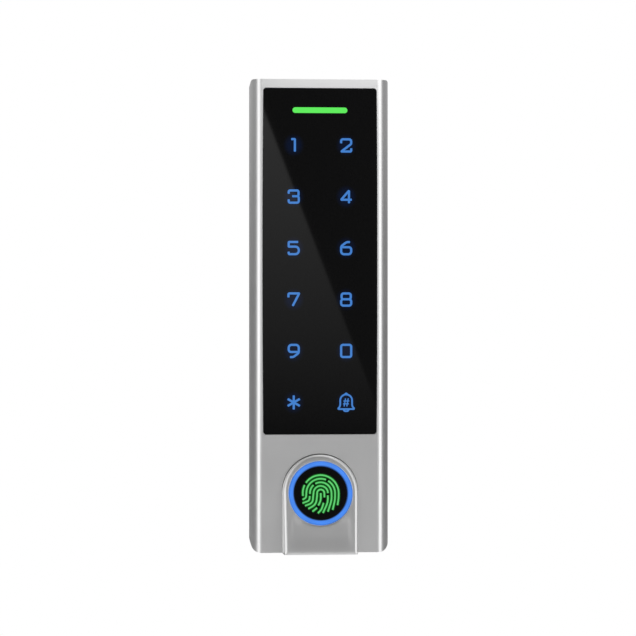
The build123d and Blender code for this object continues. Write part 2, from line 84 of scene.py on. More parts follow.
low, high = (Vector(corner) for corner in cad_box)
glass_low, glass_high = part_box("glass_panel")
aim = Vector(((low.x + high.x) / 2, glass_low.y, (low.z + high.z) / 2))
backward = Vector((math.sin(CAMERA_AZIMUTH), -math.cos(CAMERA_AZIMUTH), 0))
camera = bpy.data.objects.new("camera", bpy.data.cameras.new("camera"))
bpy.context.scene.collection.objects.link(camera)
bpy.context.scene.camera = camera
camera.location = aim + backward * CAMERA_DISTANCE
camera.rotation_mode = "QUATERNION"
camera.rotation_quaternion = (-backward).to_track_quat("-Z", "Y")
camera.data.lens = camera.data.sensor_width * CAMERA_DISTANCE / VIEW_WIDTH
camera.data.shift_x = -0.0031
camera.data.shift_y = -0.0033
camera.data.clip_start = 0.01
print("lens", round(camera.data.lens, 1), "mm, at", [round(v, 3) for v in camera.location])

# %% [markdown]
# ## Shader sums in Python
# A finish is worked out by small nodes. Wiring them one by one hides the idea, so a `Wire` stands
# for one output, and `+ - * /` on wires add the Math nodes. The reflected forms make `1 - mask`
# work too. Every other node comes from `Bench.node`, which takes the node's type, its settings,
# and what goes into its sockets. Settings come first, because they can change the sockets.

# %% Wire: a node output that can be used like a number
class Wire:
    """One output of a shader node."""

    def __init__(self, bench, socket):
        self.bench = bench
        self.socket = socket

    def __add__(self, other):
        return self.bench.maths("ADD", self, other)

    def __sub__(self, other):
        return self.bench.maths("SUBTRACT", self, other)

    def __rsub__(self, other):
        return self.bench.maths("SUBTRACT", other, self)

    def __mul__(self, other):
        return self.bench.maths("MULTIPLY", self, other)

    def __truediv__(self, other):
        return self.bench.maths("DIVIDE", self, other)

    def __abs__(self):
        return self.bench.maths("ABSOLUTE", self)

    __radd__ = __add__
    __rmul__ = __mul__


print("a Wire knows", sum(name.startswith("__r") for name in vars(Wire)), "reflected operators")

# %% Bench: a node tree and what can be put on it
class Bench:
    """A node tree, with one method that adds any node."""

    def __init__(self, tree):
        self.tree = tree

    def node(self, kind, settings=None, sockets=None, out=0):
        made = self.tree.nodes.new("ShaderNode" + kind)
        for name, setting in (settings or {}).items():
            setattr(made, name, setting)
        for name, value in (sockets or {}).items():
            self.feed(made.inputs[name], value)
        return Wire(self, made.outputs[out])

    def feed(self, socket, value):
        if isinstance(value, Wire):
            self.tree.links.new(value.socket, socket)
        else:
            socket.default_value = value

    def maths(self, operation, *values):
        return self.node("Math", {"operation": operation}, dict(enumerate(values)))

    def mix(self, amount, first, second):
        """A colour between two colours."""
        return self.node("Mix", {"data_type": "RGBA"}, {0: amount, 6: first, 7: second}, 2)

    def smooth(self, start, end, value):
        """0 before start, 1 after end, and a soft rise between them."""
        settings = {"interpolation_type": "SMOOTHSTEP"}
        return self.node("MapRange", settings, {0: value, 1: start, 2: end, 3: 0.0, 4: 1.0})

    def axes(self, vector):
        """The three numbers of a vector."""
        split = self.node("SeparateXYZ", {}, {0: vector}).socket.node
        return [Wire(self, split.outputs[i]) for i in range(3)]

    def place(self, stretch=(1, 1, 1)):
        """Where a point is on the piece, in metres, pressed together or drawn out along each axis."""
        at = self.node("TexCoord", out=3)
        return self.node("VectorMath", {"operation": "MULTIPLY"}, {0: at, 1: stretch})

    def noise(self, size, detail=3.0, stretch=(1, 1, 1)):
        """Soft random patches about that many metres across, from 0 to 1."""
        sockets = {"Vector": self.place(stretch), "Scale": 1 / size, "Detail": detail}
        return self.node("TexNoise", {}, sockets)

    def pits(self, size):
        """Distance from the nearest of many random points: small round pits or grains."""
        return self.node("TexVoronoi", {}, {"Vector": self.place(), "Scale": 1 / size})


print("a Bench can", ", ".join(name for name in vars(Bench) if not name.startswith("_")))

# %% [markdown]
# ## The studio
# Metal and glass show what is around them, so the studio is drawn first, as brightness by
# direction. Ahead of the reader it is a soft grey, two tall soft lights stand to the left and right
# of it, and they make the white bands on the body's rounded edges. Between those lights and the
# room behind it is dim, which gives the edges their dark rims, a little paler towards the top.
# The two lights are weaker near the floor, so that the metal keeps its grey when it is seen from
# above. Overhead it is bright. The eye itself sees plain white behind the reader. A world of this
# kind lights the back and sides as well, so only one small lamp is added to it later.

# %% Studio: soft lights by direction
world = bpy.data.worlds.new("studio")
bpy.context.scene.world = world
world.use_nodes = True
world.node_tree.nodes.clear()
studio = Bench(world.node_tree)

east, north, up = studio.axes(studio.node("TexCoord", out=0))
ahead = north * -1
DEGREES = 180 / math.pi
bearing = studio.maths("ARCTAN2", east, ahead) * DEGREES
height = studio.maths("ARCSINE", up) * DEGREES


def soft_light(value, centre, width):
    """A bell-shaped glow around one angle, in degrees."""
    off = (value - centre) / width
    return studio.maths("EXPONENT", off * off * -1)


LEFT_LIGHT = (-33.5, 20.0, 1.72)
RIGHT_LIGHT = (33.0, 19.0, 1.78)
RIM_LEVEL = 0.118
FACE_DIM = 0.68
GUIDE_DIM = 0.30
LOW_SIDE_DIM = 0.5
OVERHEAD = 1.05
UNDERNEATH = 0.30

low_sides = studio.smooth(-6, -20, height) * studio.smooth(8, 30, abs(bearing))
tall = soft_light(height, -4, 50) * (1 - LOW_SIDE_DIM * low_sides)
paler_up = 1 + 3.6 * studio.smooth(0, 11, height)
level = RIM_LEVEL * studio.smooth(50, 80, abs(bearing)) * paler_up
for centre, width, strength in (LEFT_LIGHT, RIGHT_LIGHT):
    level = level + soft_light(bearing, centre, width) * tall * strength
level = level * (1 - GUIDE_DIM * soft_light(height, 20, 14))
level = level * (1 - FACE_DIM * soft_light(bearing, 2, 14))
behind = studio.smooth(100, 125, abs(bearing)) * (0.05 + 0.65 * studio.smooth(10, 32, height))
above = studio.smooth(50, 84, height) * OVERHEAD
below = studio.smooth(-14, -50, height) * UNDERNEATH
level = level + behind + above + below
print("studio drawn with", len(world.node_tree.nodes), "nodes")

# %% [markdown]
# ## The slanting sheen on the glass
# A large white board stands far off in front, and its slanted edge cuts across the glass as a
# diagonal line: paler to the left of it, black to the right, fading downwards. A mirror image is
# found by looking from the camera's reflection through the glass, so two points of that line on
# the glass give two directions, and the board fills the space to their left. The same world then
# gets its two looks: the soft room for everything it lights, and plain white for the eye.

# %% Sheen board
BOARD_STRENGTH = 1.35
EDGE_UPPER_END = (0.020, 0.929)
EDGE_LOWER_END = (0.812, 0.243)
FADES_OUT_AT = 0.89
SOFT_EDGE = 0.0006
glass_size = glass_high - glass_low


def seen_in_glass(across, upward):
    """Slope right and slope up of the direction mirrored at a point of the glass."""
    x = glass_low.x + glass_size.x * across
    z = glass_low.z + glass_size.z * upward
    depth = glass_low.y - camera.location.y
    return (x - camera.location.x) / depth, (z - camera.location.z) / depth


upper_x, upper_z = seen_in_glass(*EDGE_UPPER_END)
lower_x, lower_z = seen_in_glass(*EDGE_LOWER_END)
slope_right = east / ahead
slope_up = up / ahead
along = (slope_up - lower_z) / (upper_z - lower_z)
edge = lower_x + along * (upper_x - lower_x)
board_foot = seen_in_glass(0, 0)[1]
board_head = seen_in_glass(0, FADES_OUT_AT)[1]
inside = studio.smooth(SOFT_EDGE, -SOFT_EDGE, slope_right - edge)
inside = inside * studio.smooth(-0.16, -0.08, slope_right)
fade = studio.node("MapRange", {}, {0: slope_up, 1: board_foot, 2: board_head, 3: 0.0, 4: 1.0})
limit = studio.smooth(0.24, 0.16, slope_up) * studio.maths("GREATER_THAN", ahead, 0.0)
board = inside * fade * limit * BOARD_STRENGTH

plain_white = studio.node("Background", {}, {"Color": (1, 1, 1, 1), "Strength": 1.0})
soft_room = studio.node("Background", {}, {"Color": (1, 1, 1, 1), "Strength": level + board})
seen_directly = studio.node("LightPath", out=0)
sky = studio.node("MixShader", {}, {0: seen_directly, 1: soft_room, 2: plain_white})
output = world.node_tree.nodes.new("ShaderNodeOutputWorld")
world.node_tree.links.new(sky.socket, output.inputs[0])
bpy.context.scene.view_settings.view_transform = "Standard"
bpy.context.scene.view_settings.look = "None"
print("board edge slopes", [round(slope, 3) for slope in (upper_x, upper_z, lower_x, lower_z)])

# %% [markdown]
# ## A lamp for the top strip
# The strip of metal above the glass is paler than the face below it. A small area lamp just above
# and in front of the reader gives that, because its mirror image fills the strip and stops short
# of the glass. It is hidden from the eye, and shows only as a reflection.

# %% Strip lamp
LAMP_BRIGHTNESS = 0.96
LAMP_ASIDE = 0.040
LAMP_AHEAD = 0.15
LAMP_CLEARS_TOP = 0.019
strip_lamp = bpy.data.lights.new("strip lamp", "AREA")
strip_lamp.shape = "RECTANGLE"
strip_lamp.size = 0.12
strip_lamp.size_y = 0.09
strip_lamp.energy = LAMP_BRIGHTNESS * math.pi * strip_lamp.size * strip_lamp.size_y
lamp = bpy.data.objects.new("strip lamp", strip_lamp)
lamp_z = high.z + LAMP_CLEARS_TOP + strip_lamp.size_y / 2
lamp.location = (LAMP_ASIDE, glass_low.y - LAMP_AHEAD, lamp_z)
lamp.rotation_euler = (math.pi / 2, 0, 0)
lamp.visible_camera = False
bpy.context.scene.collection.objects.link(lamp)
print("strip lamp", round(strip_lamp.energy, 4), "W")

# %% [markdown]
# ## Finishes
# Each finish starts from one Principled shader. What is the same all over is set on its own
# sockets. What changes over the surface, such as flake, spark texture or smudges, is a sum of
# noises at their real sizes in metres, and feeds colour, roughness or bump only.

# %% A finish to start from
class Finish(Bench):
    """A material with one surface shader."""

    def __init__(self, name, constants):
        self.material = bpy.data.materials.new(name)
        self.material.use_nodes = True
        super().__init__(self.material.node_tree)
        self.surface = self.tree.nodes["Principled BSDF"]
        for socket, value in constants.items():
            self.surface.inputs[socket].default_value = value

    def wear(self, socket, value):
        """Sends something that changes over the surface to a socket of the shader."""
        self.feed(self.surface.inputs[socket], value)

    def relief(self, height, depth):
        """Bump of that depth in metres, for a height from 0 to 1."""
        sockets = {"Strength": 1.0, "Distance": depth, "Height": height}
        self.wear("Normal", self.node("Bump", {}, sockets))


def grey(value, warm=0.0):
    """A grey, a little warmer or cooler."""
    return (value * (1 + warm), value, value * (1 - warm), 1)


print("ready to mix finishes")

# %% [markdown]
# ## Satin silver lacquer
# The body and the finger guide are cast in zinc and sprayed with silver lacquer. Up close it has a
# fine metal flake, a very shallow orange peel, and soft marks where hands have touched it. It is
# metallic with a middling roughness, so the tall lights spread into wide soft bands.

# %% Silver lacquer
FLAKE = 0.14 * MM
ORANGE_PEEL = 1.6 * MM
PEEL_DEPTH = 0.0022 * MM
HAND_MARK = 22 * MM


def silver_lacquer(name, shade):
    silver = Finish(name, {"Metallic": 1.0})
    flake = silver.noise(FLAKE, 2.0)
    peel = silver.noise(ORANGE_PEEL, 2.0)
    marks = silver.noise(HAND_MARK, 4.0)
    tone = flake * 0.55 + marks * 0.45
    silver.wear("Base Color", silver.mix(tone, grey(shade * 0.955, -0.004), grey(shade * 1.045, 0.002)))
    silver.wear("Roughness", 0.265 + marks * 0.05 + flake * 0.03)
    silver.relief(peel * 0.8 + flake * 0.2, PEEL_DEPTH)
    return silver.material


print("lacquer flake", FLAKE / MM, "mm, orange peel", ORANGE_PEEL / MM, "mm across")

# %% [markdown]
# ## Black glass and the polished sensor cap
# Glass printed black from behind is a near-black surface under a clear, very smooth one. Its coating
# mirrors less than bare glass does, so its specular level is low. Faint smudges change only the
# roughness. Over the keys a little blue light leaks into the glass and hazes it round each mark.
# The marks stand in a regular grid, so a Ping-Pong node gives the distance to the nearest one.

# %% Black glass
def polished_black(name, smudge):
    glass = Finish(name, {"Specular IOR Level": 0.21, "IOR": 1.5})
    wiped = glass.noise(18 * MM, 5.0, (1, 1, 0.45))
    dust = glass.noise(0.6 * MM, 1.0)
    glass.wear("Base Color", glass.mix(dust, (0.0052, 0.0052, 0.0053, 1), (0.0068, 0.0068, 0.0070, 1)))
    glass.wear("Roughness", 0.012 + smudge * wiped)
    return glass


KEY_ROWS = (("1", "2"), ("3", "4"), ("5", "6"), ("7", "8"), ("9", "0"), ("star", "bell"))
FILM_HALF_WIDTH = 3.6 * MM
FILM_HALF_HEIGHT = 3.8 * MM
HAZE = (0.0, 0.0036, 0.019, 1)
HAZE_REACH = (3.1 * MM, 3.4 * MM)
films_low, films_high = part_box("key_legends")
first_x = films_low.x + FILM_HALF_WIDTH
first_z = films_high.z - FILM_HALF_HEIGHT
column_step = films_high.x - FILM_HALF_WIDTH - first_x
row_step = (first_z - films_low.z - FILM_HALF_HEIGHT) / (len(KEY_ROWS) - 1)


def hazed(glass):
    """Faint blue light in the glass, fading away round each key mark."""
    x, _, z = glass.axes(glass.place())
    beside = glass.maths("PINGPONG", x - first_x, column_step / 2) / HAZE_REACH[0]
    above = glass.maths("PINGPONG", z - first_z, row_step / 2) / HAZE_REACH[1]
    away = glass.maths("SQRT", beside * beside + above * above)
    on_keys = glass.smooth(films_high.z + 2 * MM, films_high.z, z)
    haze = glass.smooth(1.45, 0.55, away) * on_keys
    glass.wear("Emission Color", glass.mix(haze, (0, 0, 0, 1), HAZE))
    glass.surface.inputs["Emission Strength"].default_value = 1.0
    return glass


print("keys", round(column_step / MM, 2), "mm apart across and", round(row_step / MM, 2), "mm down")

# %% [markdown]
# ## Lit marks
# Light comes through gaps in the print from diodes behind it, and a white moulding spreads it, so a
# mark is nearly even. It is a little stronger over its diode and weaker at its far ends, which a
# slow noise gives. The marks share the glass's polish, so reflections run across them unbroken.

# %% Glow through a diffuser
DIODE_SPREAD = 4.5 * MM


def glow(name, colour, dimmer, roughness):
    light = Finish(name, {"Specular IOR Level": 0.21, "Emission Strength": 1.0})
    spread = light.noise(DIODE_SPREAD, 1.0)
    grain = light.noise(0.3 * MM, 1.0)
    light.wear("Base Color", light.mix(grain, (0.004, 0.004, 0.005, 1), (0.008, 0.008, 0.009, 1)))
    light.wear("Emission Color", light.mix(spread * 0.8 + grain * 0.2, dimmer, colour))
    light.wear("Roughness", roughness + 0.05 * grain)
    return light.material


print("each diode lifts the glow over about", DIODE_SPREAD / MM, "mm")

# %% [markdown]
# ## Steels
# The wall plate is stainless sheet with a brushed grain along its length, which is noise drawn out
# along one axis. The fixings are zinc plated: bluish, with cloudy patches from the passivation.

# %% Brushed stainless and zinc plate
BRUSH_WIDTH = 0.22 * MM
BRUSH_STRETCH = (1, 1, 0.03)


def brushed_steel(name, shade):
    steel = Finish(name, {"Metallic": 1.0})
    grain = steel.noise(BRUSH_WIDTH, 3.0, BRUSH_STRETCH)
    cloud = steel.noise(20 * MM, 4.0)
    tone = grain * 0.7 + cloud * 0.3
    steel.wear("Base Color", steel.mix(tone, grey(shade * 0.80, 0.012), grey(shade * 1.10, 0.008)))
    steel.wear("Roughness", 0.24 + 0.16 * grain + 0.06 * cloud)
    steel.relief(grain, 0.006 * MM)
    return steel.material


def zinc_plate(name):
    zinc = Finish(name, {"Metallic": 1.0})
    cloud = zinc.noise(2 * MM, 5.0)
    speck = zinc.noise(0.3 * MM, 2.0)
    zinc.wear("Base Color", zinc.mix(cloud, (0.50, 0.53, 0.58, 1), (0.72, 0.72, 0.70, 1)))
    zinc.wear("Roughness", 0.26 + 0.14 * cloud + 0.06 * speck)
    zinc.relief(speck, 0.004 * MM)
    return zinc.material


print("brushed lines", BRUSH_WIDTH / MM, "mm wide, drawn out", BRUSH_STRETCH)

# %% [markdown]
# ## Plastics and rubber
# A moulding takes its texture from the mould. The inner cover has a spark-eroded texture, thousands
# of shallow pits, while the relay case and connectors are smoother. Rubber is duller, with a bloom
# of paler dust. One function makes them all, from how glossy it is and the pits' size and depth,
# both in millimetres.

# %% Moulded surface
FLOW_MARK = 9 * MM


def moulding(name, colour, roughness, pit_size, pit_depth, bloom=0.25):
    plastic = Finish(name, {"IOR": 1.47})
    pits = plastic.pits(pit_size * MM)
    cloud = plastic.noise(FLOW_MARK, 4.0)
    dark = [c * (1 - bloom * 0.5) for c in colour] + [1]
    pale = [c + (0.16 * bloom) * (1 - c) * 0.35 for c in colour] + [1]
    plastic.wear("Base Color", plastic.mix(cloud * 0.75 + pits * 0.25, dark, pale))
    plastic.wear("Roughness", roughness - 0.05 + 0.12 * cloud)
    plastic.relief(pits, pit_depth * MM)
    return plastic.material


print("mouldings are cloudy over about", FLOW_MARK / MM, "mm")

# %% [markdown]
# ## Circuit board
# Green solder mask lies over copper tracks, which show as a slightly paler, raised pattern. Bricks
# of long thin cells make believable tracks, and only their outlines are used.

# %% Solder mask over tracks
TRACKS_PER_METRE = 260.0
TRACK_HEIGHT = 0.03 * MM


def solder_mask(name):
    board = Finish(name, {"Coat Weight": 0.35, "Coat Roughness": 0.12})
    across, _, along = board.axes(board.place())
    flat = board.node("CombineXYZ", {}, {0: across, 1: along, 2: 0.0})
    sockets = {"Vector": flat, "Scale": TRACKS_PER_METRE, "Mortar Size": 0.055,
               "Mortar Smooth": 0.3, "Brick Width": 1.9, "Row Height": 0.42}
    tracks = board.node("TexBrick", {"offset": 0.37}, sockets, 1)
    cloud = board.noise(6 * MM, 3.0)
    plain = board.mix(cloud, (0.008, 0.085, 0.036, 1), (0.012, 0.125, 0.052, 1))
    board.wear("Base Color", board.mix(tracks, plain, (0.045, 0.26, 0.10, 1)))
    board.wear("Roughness", 0.30 + 0.14 * cloud)
    board.relief(tracks, TRACK_HEIGHT)
    return board.material


print("tracks lie", round(0.42 / TRACKS_PER_METRE / MM, 2), "mm apart")

# %% [markdown]
# ## Small metal and wire
# The coil is enamelled copper, wound in fine turns that show as a ripple. Capacitor cans are drawn
# aluminium with faint rings, and the flat cable is amber film with dark conductors along it.

# %% Wound wire, drawn can and film
TURNS_SCALE = 900.0
CONDUCTOR_PITCH = 0.8 * MM


def wound_copper(name):
    coil = Finish(name, {"Metallic": 1.0, "Coat Weight": 0.6, "Coat Roughness": 0.1})
    turns = coil.node("TexWave", {"bands_direction": "Y"}, {"Vector": coil.place(), "Scale": TURNS_SCALE})
    cloud = coil.noise(4 * MM, 3.0)
    coil.wear("Base Color", coil.mix(cloud, (0.52, 0.20, 0.075, 1), (0.72, 0.33, 0.14, 1)))
    coil.wear("Roughness", 0.25 + 0.15 * turns)
    coil.relief(turns, 0.06 * MM)
    return coil.material


def drawn_can(name):
    can = Finish(name, {"Metallic": 1.0})
    rings = can.noise(0.25 * MM, 2.0, (0.2, 1, 0.2))
    scuff = can.noise(3 * MM, 4.0)
    can.wear("Base Color", can.mix(scuff, (0.62, 0.62, 0.64, 1), (0.80, 0.80, 0.81, 1)))
    can.wear("Roughness", 0.22 + 0.12 * rings + 0.08 * scuff)
    can.relief(rings, 0.008 * MM)
    return can.material


def amber_film(name):
    film = Finish(name, {"Coat Weight": 0.5, "Coat Roughness": 0.08})
    across = film.axes(film.place())[0]
    comb = film.maths("PINGPONG", across, CONDUCTOR_PITCH / 2) / (CONDUCTOR_PITCH / 2)
    lines = film.smooth(0.35, 0.65, comb)
    cloud = film.noise(4 * MM, 3.0)
    plain = film.mix(cloud, (0.42, 0.17, 0.025, 1), (0.58, 0.26, 0.045, 1))
    film.wear("Base Color", film.mix(lines, plain, (0.20, 0.075, 0.015, 1)))
    film.wear("Roughness", 0.28 + 0.1 * cloud)
    film.relief(lines, 0.02 * MM)
    return film.material


print("the flat cable has a conductor every", CONDUCTOR_PITCH / MM, "mm")

# %% [markdown]
# ## One finish for each slot
# The record names a material slot for each part, so a table from slot to finish covers every CAD
# part at once, and none is forgotten.

# %% Finishes by slot
BLUE_CORE = (0.064, 0.238, 0.66, 1)
BLUE_EDGE = (0.050, 0.195, 0.57, 1)
GREEN_CORE = (0.135, 0.72, 0.190, 1)
GREEN_EDGE = (0.100, 0.58, 0.140, 1)
finishes = {
    "silver_casting": silver_lacquer("silver lacquer", 0.89),
    "black_glass": hazed(polished_black("printed black glass", 0.010)).material,
    "tape": moulding("foam tape", (0.05, 0.05, 0.055), 0.75, 0.5, 0.06),
    "blue_light": glow("blue light", BLUE_CORE, BLUE_EDGE, 0.02),
    "green_light": glow("green light", GREEN_CORE, GREEN_EDGE, 0.02),
    "circuit_board": solder_mask("solder mask"),
    "white_plastic": moulding("white moulding", (0.76, 0.76, 0.74), 0.45, 0.4, 0.008),
    "led_resin": moulding("clear resin", (0.80, 0.72, 0.38), 0.18, 0.6, 0.004),
    "copper_wire": wound_copper("enamelled copper"),
    "zinc_steel": zinc_plate("zinc plate"),
    "stainless": brushed_steel("brushed stainless", 0.62),
    "black_plastic": moulding("spark textured black", (0.017, 0.017, 0.018), 0.52, 0.28, 0.03),
    "relay_case": moulding("relay case", (0.018, 0.045, 0.13), 0.28, 0.8, 0.006),
    "chip_epoxy": moulding("chip epoxy", (0.016, 0.016, 0.017), 0.55, 0.18, 0.012),
    "capacitor_can": drawn_can("drawn can"),
    "header_plastic": moulding("natural nylon", (0.66, 0.60, 0.46), 0.40, 0.5, 0.01),
    "rubber": moulding("rubber", (0.016, 0.016, 0.016), 0.70, 0.35, 0.02, 0.6),
    "lens_black": polished_black("polished sensor cap", 0.03).material,
    "cable_film": amber_film("amber film"),
}
slot_of = {part["node"]: part["material_slot"] for part in frame["record"]["subparts"]}
for node, slot in slot_of.items():
    for material_slot in frame["nodes"][node].material_slots:
        material_slot.material = finishes[slot]
print(len(finishes), "finishes on", len(slot_of), "parts")

# %% [markdown]
# ## Rounded edges on the CAD parts
# CAD leaves edges perfectly sharp, and no real edge is. A cast or moulded edge has a small radius
# that catches a line of light. A Bevel modifier adds it without touching the CAD mesh. The mesh
# arrives as loose triangles, so Weld joins them and a planar Decimate clears the flat faces first.

# %% Bevels
SHARP = math.radians(32)
FLAT = 0.4
LOOSE = 0.002 * MM
EDGE_ROUNDING = {
    "front_housing": 0.22, "wall_plate": 0.16, "inner_cover": 0.18, "security_screw": 0.14,
    "lug_nut": 0.15, "tamper_plunger": 0.18, "cable_grommet": 0.30, "sensor_nut": 0.20,
    "cover_screws": 0.10, "door_relay": 0.35, "capacitors": 0.35, "buzzer": 0.30,
    "processor_chips": 0.08, "wire_headers": 0.12, "light_guide": 0.15, "main_board": 0.06,
    "board_screws": 0.12, "tamper_switch": 0.15, "key_leds": 0.12,
}


def round_edges(node, radius):
    part = frame["nodes"][node]
    weld = part.modifiers.new("join", "WELD")
    weld.merge_threshold = LOOSE
    flatten = part.modifiers.new("clear flats", "DECIMATE")
    flatten.decimate_type = "DISSOLVE"
    flatten.angle_limit = math.radians(FLAT)
    bevel = part.modifiers.new("rounding", "BEVEL")
    bevel.width = radius * MM
    bevel.segments = 3
    bevel.limit_method = "ANGLE"
    bevel.angle_limit = SHARP
    bevel.harden_normals = False
    bevel.miter_outer = "MITER_ARC"
    even = part.modifiers.new("even shading", "WEIGHTED_NORMAL")
    even.keep_sharp = True
    even.weight = 100


for node, radius in EDGE_ROUNDING.items():
    round_edges(node, radius)
print("rounded the edges of", len(EDGE_ROUNDING), "parts")

# %% [markdown]
# ## Tools for new pieces
# New pieces are skins over a row of rings, each ring being the same outline moved, shrunk or rounded.
# `skin` joins them, and `new_piece` turns the result into an object with a finish, hides the CAD parts
# that it stands for, and lets it ride on the reader. Shapes on a face are drawn flat and laid on it by a
# matrix, whose third axis points out of the face.

# %% Skin and piece
def skin(mesh, rings, joined=False):
    """A surface over rings with the same number of points. Joined, the last meets the first."""
    loops = [[mesh.verts.new(point) for point in ring] for ring in rings]
    pairs = list(zip(loops, loops[1:]))
    if joined:
        pairs.append((loops[-1], loops[0]))
    for first, second in pairs:
        for index in range(len(first)):
            after = (index + 1) % len(first)
            mesh.faces.new((first[index], first[after], second[after], second[index]))
    if not joined:
        mesh.faces.new(loops[0])
        mesh.faces.new(loops[-1])


def new_piece(name, mesh, slot, nodes, finish=None, smooth_below=35):
    """An object of the reader from a bmesh, in place of the named CAD parts."""
    bmesh.ops.recalc_face_normals(mesh, faces=mesh.faces)
    data = bpy.data.meshes.new(name)
    mesh.to_mesh(data)
    mesh.free()
    data.shade_smooth()
    data.set_sharp_from_angle(angle=math.radians(smooth_below))
    data.materials.append(finish or finishes[slot])
    piece = bpy.data.objects.new(name, data)
    bpy.context.scene.collection.objects.link(piece)
    even = piece.modifiers.new("even shading", "WEIGHTED_NORMAL")
    even.keep_sharp = True
    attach(piece, "reader")
    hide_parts(*nodes)
    print(name, "has", len(data.polygons), "faces")
    return piece


def skinned_piece(name, rings, slot, nodes, joined=False, **how):
    """A piece that is one skin over its rings."""
    mesh = bmesh.new()
    skin(mesh, rings, joined)
    return new_piece(name, mesh, slot, nodes, **how)


# %% Laying things on a face
def on_face(origin, outward):
    """Lays flat drawings on a face: x to the right, y up the face, z out of it."""
    out = outward.normalized()
    right = Vector((1, 0, 0))
    return Matrix.Translation(origin) @ Matrix((right, out.cross(right), out)).transposed().to_4x4()


def quarter(radius, steps=5):
    """Inset and height along a rounded edge, from its wall to its top."""
    angles = [math.pi / 2 * step / steps for step in range(steps + 1)]
    return [(radius * (1 - math.cos(a)), radius * math.sin(a)) for a in angles]


print("a rolled edge has", len(quarter(1)), "rings")

# %% [markdown]
# ## The glass panel
# The panel is 1.7 mm glass with ground corners and a fine polished edge. Its long sides bow out very
# slightly, as the body's do. An outline function with an inset gives every ring the same points, so
# the edge can roll over smoothly into the face.

# %% Glass panel
GLASS_BOW = 0.28 * MM
GLASS_CORNER = 1.2 * MM
POLISHED_EDGE = 0.16 * MM
SIDE_STEPS = 28
CORNER_STEPS = 7
glass_middle = (glass_low + glass_high) / 2
glass_half = glass_size / 2


def glass_outline(inset, depth):
    """The panel's outline at a distance from the wall, going round from its lower right."""
    points = []
    radius = GLASS_CORNER - inset * 0.5
    upright = glass_half.z - inset - radius
    for side in (1, -1):
        for step in range(SIDE_STEPS + 1):
            rise = (2 * step / SIDE_STEPS - 1) * side
            bow = GLASS_BOW * (1 - rise * rise)
            reach = glass_half.x - GLASS_BOW - inset + bow
            points.append((side * reach, upright * rise))
        inner = glass_half.x - GLASS_BOW - inset - radius
        quarter_turn = [math.pi / 2 * step / CORNER_STEPS for step in range(CORNER_STEPS + 1)]
        for angle in quarter_turn[1:]:
            reach = inner + radius * math.cos(angle)
            points.append((side * reach, side * (upright + radius * math.sin(angle))))
        for angle in quarter_turn[:-1]:
            reach = inner + radius * math.sin(angle)
            points.append((-side * reach, side * (upright + radius * math.cos(angle))))
    return [(glass_middle.x + x, depth, glass_middle.z + z) for x, z in points]


panel_rings = [glass_outline(0, glass_high.y)]
for inset, rise in quarter(POLISHED_EDGE):
    panel_rings.append(glass_outline(inset, glass_low.y + POLISHED_EDGE - rise))
skinned_piece("keypad_glass", panel_rings, "black_glass", ["glass_panel"], smooth_below=50)

# %% [markdown]
# ## Lines with width
# The marks on the keys are strokes of even width. A stroke is a line through a few corners, each
# turned on an arc, and `ribbon` gives it width with mitred sides. That keeps a numeral to a handful
# of corners, as a sign maker would bend it from wire.

# %% Strokes
def bent_line(corners, closed=False):
    """A flat line through corners (x, y, radius), each turned on an arc of its radius."""
    line = []
    for index, (x, y, radius) in enumerate(corners):
        here = Vector((x, y))
        at_end = not closed and index in (0, len(corners) - 1)
        if radius == 0 or at_end:
            line.append(here)
            continue
        come = here - Vector(corners[index - 1][:2])
        go = Vector(corners[(index + 1) % len(corners)][:2]) - here
        turn = come.angle_signed(go) * -1
        reach = min(radius * math.tan(abs(turn) / 2), come.length * 0.499, go.length * 0.499)
        start = here - come.normalized() * reach
        side = Vector((-come.y, come.x)).normalized() * math.copysign(1, turn)
        centre = start + side * (reach / math.tan(abs(turn) / 2))
        steps = max(2, round(abs(turn) / math.radians(11)))
        for step in range(steps + 1):
            angle = turn * step / steps
            line.append(centre + Matrix.Rotation(angle, 2) @ (start - centre))
    return line


def ribbon(mesh, line, width, thickness, lay, closed=False):
    """A thin solid stroke along a flat line, laid on a face by a matrix."""
    half = width / 2
    if not closed:
        first = (line[0] - line[1]).normalized() * half * 0.35
        last = (line[-1] - line[-2]).normalized() * half * 0.35
        line = [line[0] + first] + line + [line[-1] + last]
    sides = []
    for index, here in enumerate(line):
        before = line[index - 1] if closed or index else None
        after = line[(index + 1) % len(line)] if closed or index < len(line) - 1 else None
        come = (here - before).normalized() if before is not None else (after - here).normalized()
        go = (after - here).normalized() if after is not None else come
        across = Vector((-come.y - go.y, come.x + go.x))
        across = across.normalized() / max(0.5, math.sqrt((1 + come.dot(go)) / 2))
        at_end = not closed and index in (0, len(line) - 1)
        sides.append((here, across * half * (0.62 if at_end else 1)))
    rings = []
    for here, across in sides:
        corners = ((1, 0), (1, thickness), (-1, thickness), (-1, 0))
        flat = [(here + across * way, rise) for way, rise in corners]
        rings.append([lay @ Vector((p.x * MM, p.y * MM, rise * MM)) for p, rise in flat])
    skin(mesh, rings, joined=closed)


print("a right angle bends over", len(bent_line([(0, 0, 0), (1, 0, 1), (1, 1, 0)])), "points")

# %% [markdown]
# ## The key marks
# The keys run 1 2, 3 4 and so on down to 9 0, then a star and a bell. The numerals are squarish and
# drawn with one stroke each. Light comes up to the face of the glass, so each mark is a very thin
# ribbon on it. A 9 is a 6 turned round, and so it is made that way.

